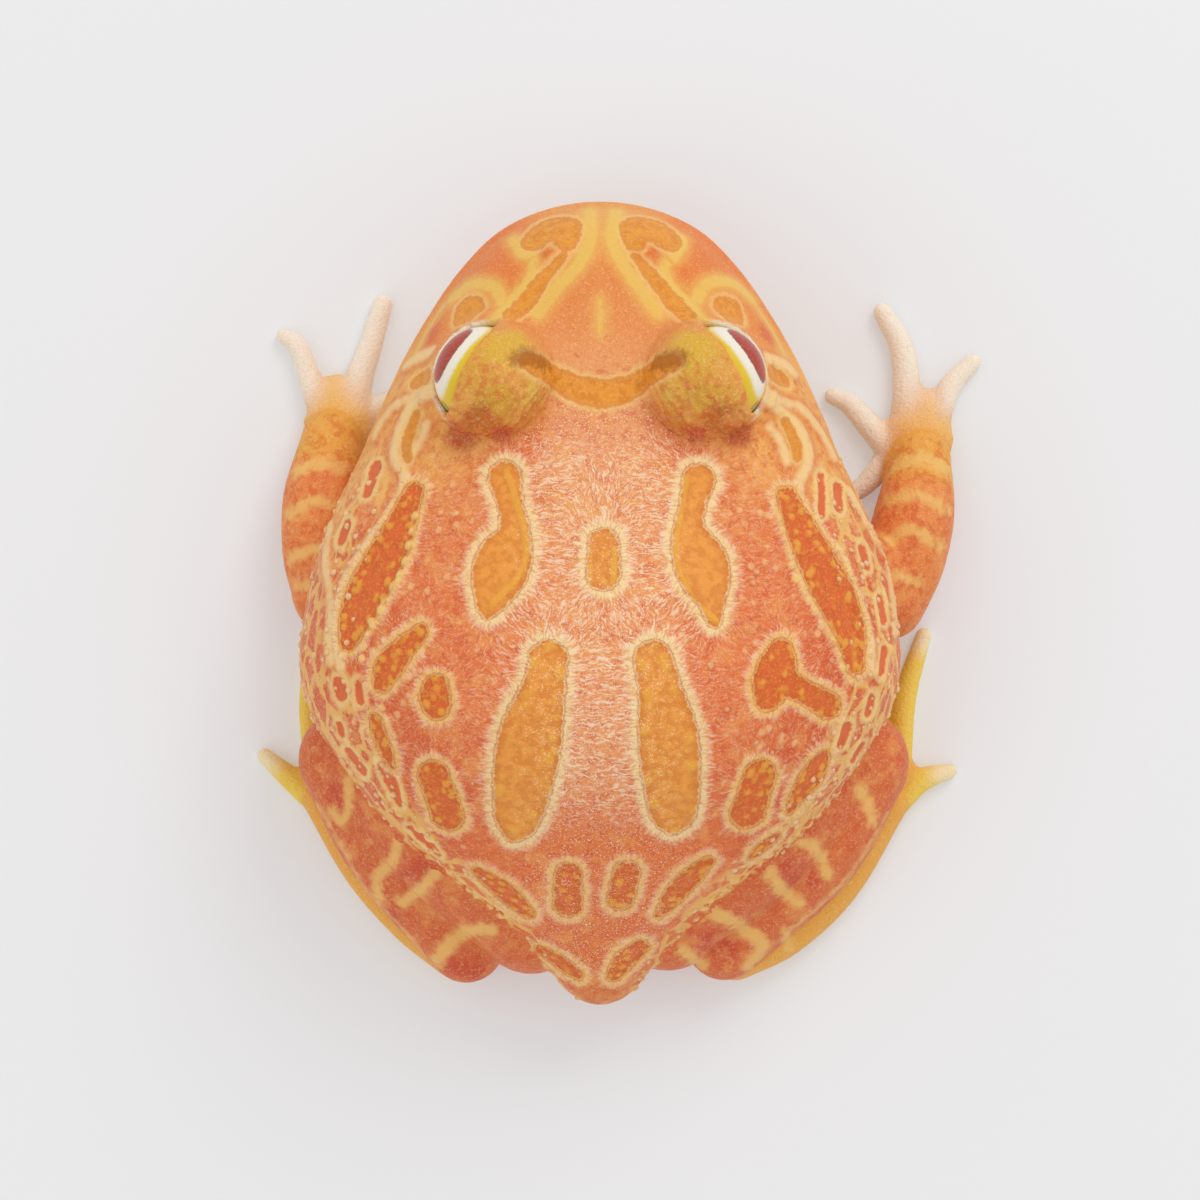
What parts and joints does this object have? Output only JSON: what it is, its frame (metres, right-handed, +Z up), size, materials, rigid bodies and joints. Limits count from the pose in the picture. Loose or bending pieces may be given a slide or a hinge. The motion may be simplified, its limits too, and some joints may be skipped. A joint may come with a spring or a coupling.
{
  "type": "argentine horned frog",
  "caption": "Broad rounded horned frog sitting flat on its belly with wide mouth, domed eyes and folded legs; still life-size display model.",
  "frame": {"origin": "on the floor under the middle of the belly", "axes": "the frog faces -Y, its own left is +X, +Z is up"},
  "size_m": [0.0938, 0.102, 0.0461],
  "materials": {
    "back_skin": "moist warty skin, orange with cream net and golden spots",
    "jaw_skin": "moist smooth skin, cream to pale orange",
    "leg_skin": "moist warty skin, red-orange with golden bars",
    "foot_skin": "moist smooth skin, golden yellow, translucent webs",
    "digit_skin": "moist smooth skin, pale cream, slightly translucent",
    "lid_skin": "moist granular skin, olive yellow and orange",
    "eye": "wet glossy eye, brick red pupil in a cream and yellow iris"
  },
  "bodies": {
    "root": {"head": "back_skin", "lower_jaw": "jaw_skin", "torso": "back_skin", "eye_left": "eye", "eyelid_left": "lid_skin", "upper_arm_left": "leg_skin", "forearm_left": "leg_skin", "thigh_left": "leg_skin", "shank_left": "leg_skin", "hand_left": "foot_skin", "foot_left": "foot_skin", "finger_left_1": "digit_skin", "finger_left_2": "digit_skin", "finger_left_3": "digit_skin", "finger_left_4": "digit_skin", "toe_left_1": "foot_skin", "toe_left_2": "foot_skin", "toe_left_3": "foot_skin", "toe_left_4": "foot_skin", "toe_left_5": "foot_skin", "eye_right": "eye", "eyelid_right": "lid_skin", "upper_arm_right": "leg_skin", "forearm_right": "leg_skin", "thigh_right": "leg_skin", "shank_right": "leg_skin", "hand_right": "foot_skin", "foot_right": "foot_skin", "finger_right_1": "digit_skin", "finger_right_2": "digit_skin", "finger_right_3": "digit_skin", "finger_right_4": "digit_skin", "toe_right_1": "foot_skin", "toe_right_2": "foot_skin", "toe_right_3": "foot_skin", "toe_right_4": "foot_skin", "toe_right_5": "foot_skin"}
  },
  "joints": []
}
